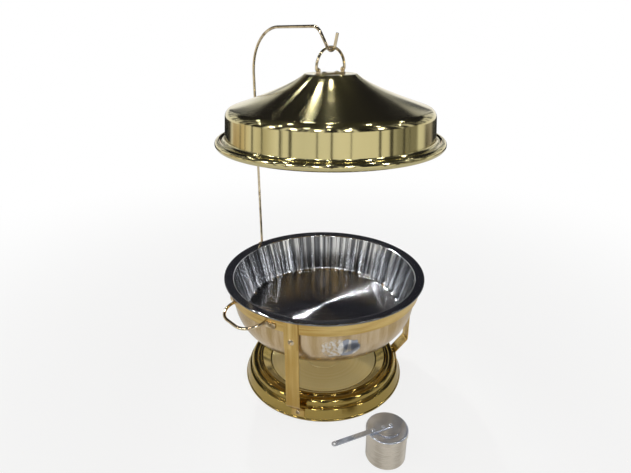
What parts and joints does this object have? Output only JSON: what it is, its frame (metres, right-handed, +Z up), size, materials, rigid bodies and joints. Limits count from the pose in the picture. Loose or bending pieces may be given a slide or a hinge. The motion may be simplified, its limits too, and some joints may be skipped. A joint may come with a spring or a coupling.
{
  "type": "chafing dish",
  "caption": "Round gold chafing dish: spun base, strap legs and ring holding a water pan and food pan, with a bell lid hung by its bail from a swivelling hook rod, and a fuel burner.",
  "frame": {"origin": "middle of the round base, on the table that it stands on", "axes": "+Z up the pans' axis, +Y towards the hanger's post at the rear leg, handles along X"},
  "size_m": [0.4306, 0.483, 0.6596],
  "materials": {
    "polished_gold": "polished, gold-coloured sheet",
    "satin_gold": "satin, gold-coloured strap",
    "gold_wire": "polished, gold-coloured round wire",
    "gold_fasteners": "plain, gold-coloured rivets and screws",
    "filmed_steel": "steel under a milky protective film",
    "mirror_steel": "mirror polish with a ring-brushed floor",
    "burner_steel": "bright drawn steel"
  },
  "bodies": {
    "stand": {"base_dish": "polished_gold", "leg_left": "satin_gold", "leg_right": "satin_gold", "leg_rear": "satin_gold", "leg_foot_rivets": "gold_fasteners", "support_ring": "satin_gold", "ring_tabs": "satin_gold", "leg_screws": "gold_fasteners", "leg_nuts": "burner_steel", "handle_left": "gold_wire", "handle_right": "gold_wire", "handle_rivets": "gold_fasteners", "hanger_bracket": "satin_gold", "hanger_socket": "satin_gold", "bracket_rivet": "gold_fasteners"},
    "water_pan": {"water_pan": "filmed_steel"},
    "food_pan": {"food_pan": "mirror_steel"},
    "hanger": {"hanger_rod": "gold_wire"},
    "bail": {"lid_bail": "gold_wire"},
    "lid": {"lid_shell": "polished_gold", "bail_bracket": "gold_wire", "bail_rivets": "gold_fasteners"},
    "burner": {"burner_cup": "burner_steel", "burner_deck": "burner_steel", "snuffer_pin": "burner_steel"},
    "snuffer": {"snuffer_cover": "burner_steel", "snuffer_handle": "burner_steel", "snuffer_rivets": "burner_steel"}
  },
  "joints": [
    {"name": "water_pan_lift", "type": "slide", "parent": "stand", "child": "water_pan", "axis": [0, 0, 1], "range_m": [0, 0.06]},
    {"name": "food_pan_lift", "type": "slide", "parent": "water_pan", "child": "food_pan", "axis": [0, 0, 1], "range_m": [0, 0.075]},
    {"name": "hanger_swing", "type": "hinge", "parent": "stand", "child": "hanger", "pos_m": [0, 0.203, 0.4], "axis": [0, 0, 1], "range_deg": [-120, 120]},
    {"name": "bail_unhook", "type": "slide", "parent": "hanger", "child": "bail", "axis": [0, -0.28, 0.96], "range_m": [0, 0.027]},
    {"name": "lid_tilt", "type": "hinge", "parent": "bail", "child": "lid", "pos_m": [0, -0.012, 0.5925], "axis": [1, 0, 0], "range_deg": [-45, 7]},
    {"name": "burner_lift", "type": "slide", "parent": "stand", "child": "burner", "axis": [0, 0, 1], "range_m": [0, 0.08]},
    {"name": "snuffer_swing", "type": "hinge", "parent": "burner", "child": "snuffer", "pos_m": [-0.10553, -0.22921, 0.0605], "axis": [0, 0, 1], "range_deg": [-120, 120]}
  ]
}
